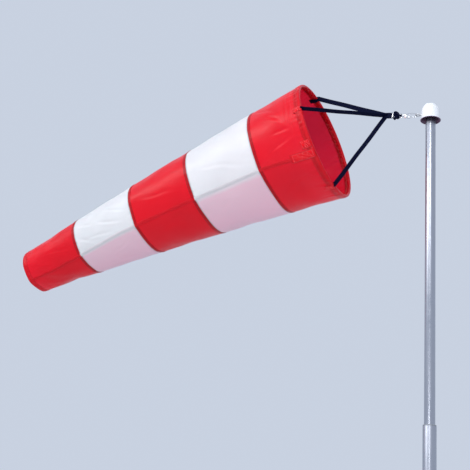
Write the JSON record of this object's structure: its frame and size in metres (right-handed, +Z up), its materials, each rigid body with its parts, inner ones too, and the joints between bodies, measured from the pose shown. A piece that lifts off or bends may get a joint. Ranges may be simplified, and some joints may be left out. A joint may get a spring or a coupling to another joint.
{
  "type": "windsock with pole",
  "caption": "Tapered red and white fabric windsock on a strap bridle, hooked to a free-turning cap on top of a telescopic aluminium pole.",
  "frame": {"origin": "middle of the pole's foot, on the surface it stands on", "axes": "+Z up the pole; the sock streams towards -X; +Y is the side away from the usual viewer"},
  "size_m": [1.2637, 0.3283, 2.5735],
  "materials": {
    "foot_rubber": "moulded, matt",
    "pole_aluminium": "satin anodised tube",
    "collar_plastic": "moulded, fine grain",
    "lock_plastic": "moulded",
    "fastener_steel": "zinc plated",
    "bearing_steel": "ground and polished",
    "cap_paint": "gloss white paint over spun metal",
    "hook_steel": "bright nickel plate",
    "black_webbing": "woven nylon webbing",
    "hoop_steel": "drawn spring wire",
    "red_nylon": "thin woven nylon",
    "white_nylon": "thin woven nylon"
  },
  "bodies": {
    "base": {"foot_plug": "foot_rubber", "base_tube": "pole_aluminium", "lower_collar": "collar_plastic"},
    "lower_lock": {"lower_lock_sleeve": "lock_plastic"},
    "middle_section": {"middle_tube": "pole_aluminium", "lower_lock_core": "lock_plastic", "lower_lock_screw": "fastener_steel", "upper_collar": "collar_plastic"},
    "upper_lock": {"upper_lock_sleeve": "lock_plastic"},
    "top_section": {"top_tube": "pole_aluminium", "upper_lock_core": "lock_plastic", "upper_lock_screw": "fastener_steel", "spindle_plug": "lock_plastic", "spindle_bolt": "fastener_steel", "spindle_spacer": "fastener_steel", "spindle_washer": "fastener_steel", "bearing_inner_ring": "bearing_steel"},
    "ball_set": {"bearing_cage": "bearing_steel", "bearing_ball_1": "bearing_steel", "bearing_ball_2": "bearing_steel", "bearing_ball_3": "bearing_steel", "bearing_ball_4": "bearing_steel", "bearing_ball_5": "bearing_steel", "bearing_ball_6": "bearing_steel", "bearing_ball_7": "bearing_steel"},
    "swivel_head": {"swivel_cap": "cap_paint", "bearing_outer_ring": "bearing_steel", "bearing_circlip": "fastener_steel", "cap_eye": "hook_steel", "cap_eye_nut": "fastener_steel"},
    "snap_hook": {"hook_body": "hook_steel", "hook_spring": "fastener_steel"},
    "hook_bolt": {"hook_bolt": "hook_steel"},
    "hook_swivel": {"swivel_ring": "hook_steel"},
    "sock": {"knotted_loop": "black_webbing", "keeper_ring": "hook_steel", "bridle_sleeve": "black_webbing", "strap_top": "black_webbing", "strap_side": "black_webbing", "strap_bottom": "black_webbing", "strap_patch_top": "black_webbing", "strap_patch_side": "black_webbing", "strap_patch_bottom": "black_webbing", "mouth_hoop": "hoop_steel", "mouth_hem": "red_nylon", "red_band_1": "red_nylon", "white_band_2": "white_nylon", "red_band_3": "red_nylon", "white_band_4": "white_nylon", "red_band_5": "red_nylon", "tail_hem": "red_nylon"}
  },
  "joints": [
    {"name": "lower_slide", "type": "slide", "parent": "base", "child": "lower_lock", "axis": [0, 0, 1], "range_m": [-0.68, 0]},
    {"name": "lower_twist", "type": "hinge", "parent": "lower_lock", "child": "middle_section", "pos_m": [0, 0, 0.75], "axis": [0, 0, 1], "range_deg": [0, 90]},
    {"name": "upper_slide", "type": "slide", "parent": "middle_section", "child": "upper_lock", "axis": [0, 0, 1], "range_m": [-0.73, 0]},
    {"name": "upper_twist", "type": "hinge", "parent": "upper_lock", "child": "top_section", "pos_m": [0, 0, 1.55], "axis": [0, 0, 1], "range_deg": [0, 90]},
    {"name": "cap_swivel", "type": "hinge", "parent": "top_section", "child": "swivel_head", "pos_m": [0, 0, 2.44], "axis": [0, 0, 1], "continuous": true},
    {"name": "bearing_roll", "type": "hinge", "parent": "top_section", "child": "ball_set", "pos_m": [0, 0, 2.44], "axis": [0, 0, 1], "continuous": true},
    {"name": "hook_swing", "type": "hinge", "parent": "swivel_head", "child": "snap_hook", "pos_m": [-0.0385, 0, 2.451], "axis": [0, -1, 0], "range_deg": [-15, 20]},
    {"name": "bolt_slide", "type": "slide", "parent": "snap_hook", "child": "hook_bolt", "axis": [-0.9885, 0, 0.1513], "range_m": [0, 0.006], "stiffness_N_per_m": 200, "springref_m": -0.005, "deforming": ["hook_spring"]},
    {"name": "hook_turn", "type": "hinge", "parent": "snap_hook", "child": "hook_swivel", "pos_m": [-0.06914, 0, 2.45569], "axis": [-0.9885, 0, 0.1513], "continuous": true},
    {"name": "sock_pitch", "type": "hinge", "parent": "hook_swivel", "child": "sock", "pos_m": [-0.07646, 0, 2.45681], "axis": [0, -1, 0], "range_deg": [-16, 28]}
  ],
  "couplings": [
    {"joint": "bearing_roll", "follows": "cap_swivel", "ratio": 0.6267}
  ]
}
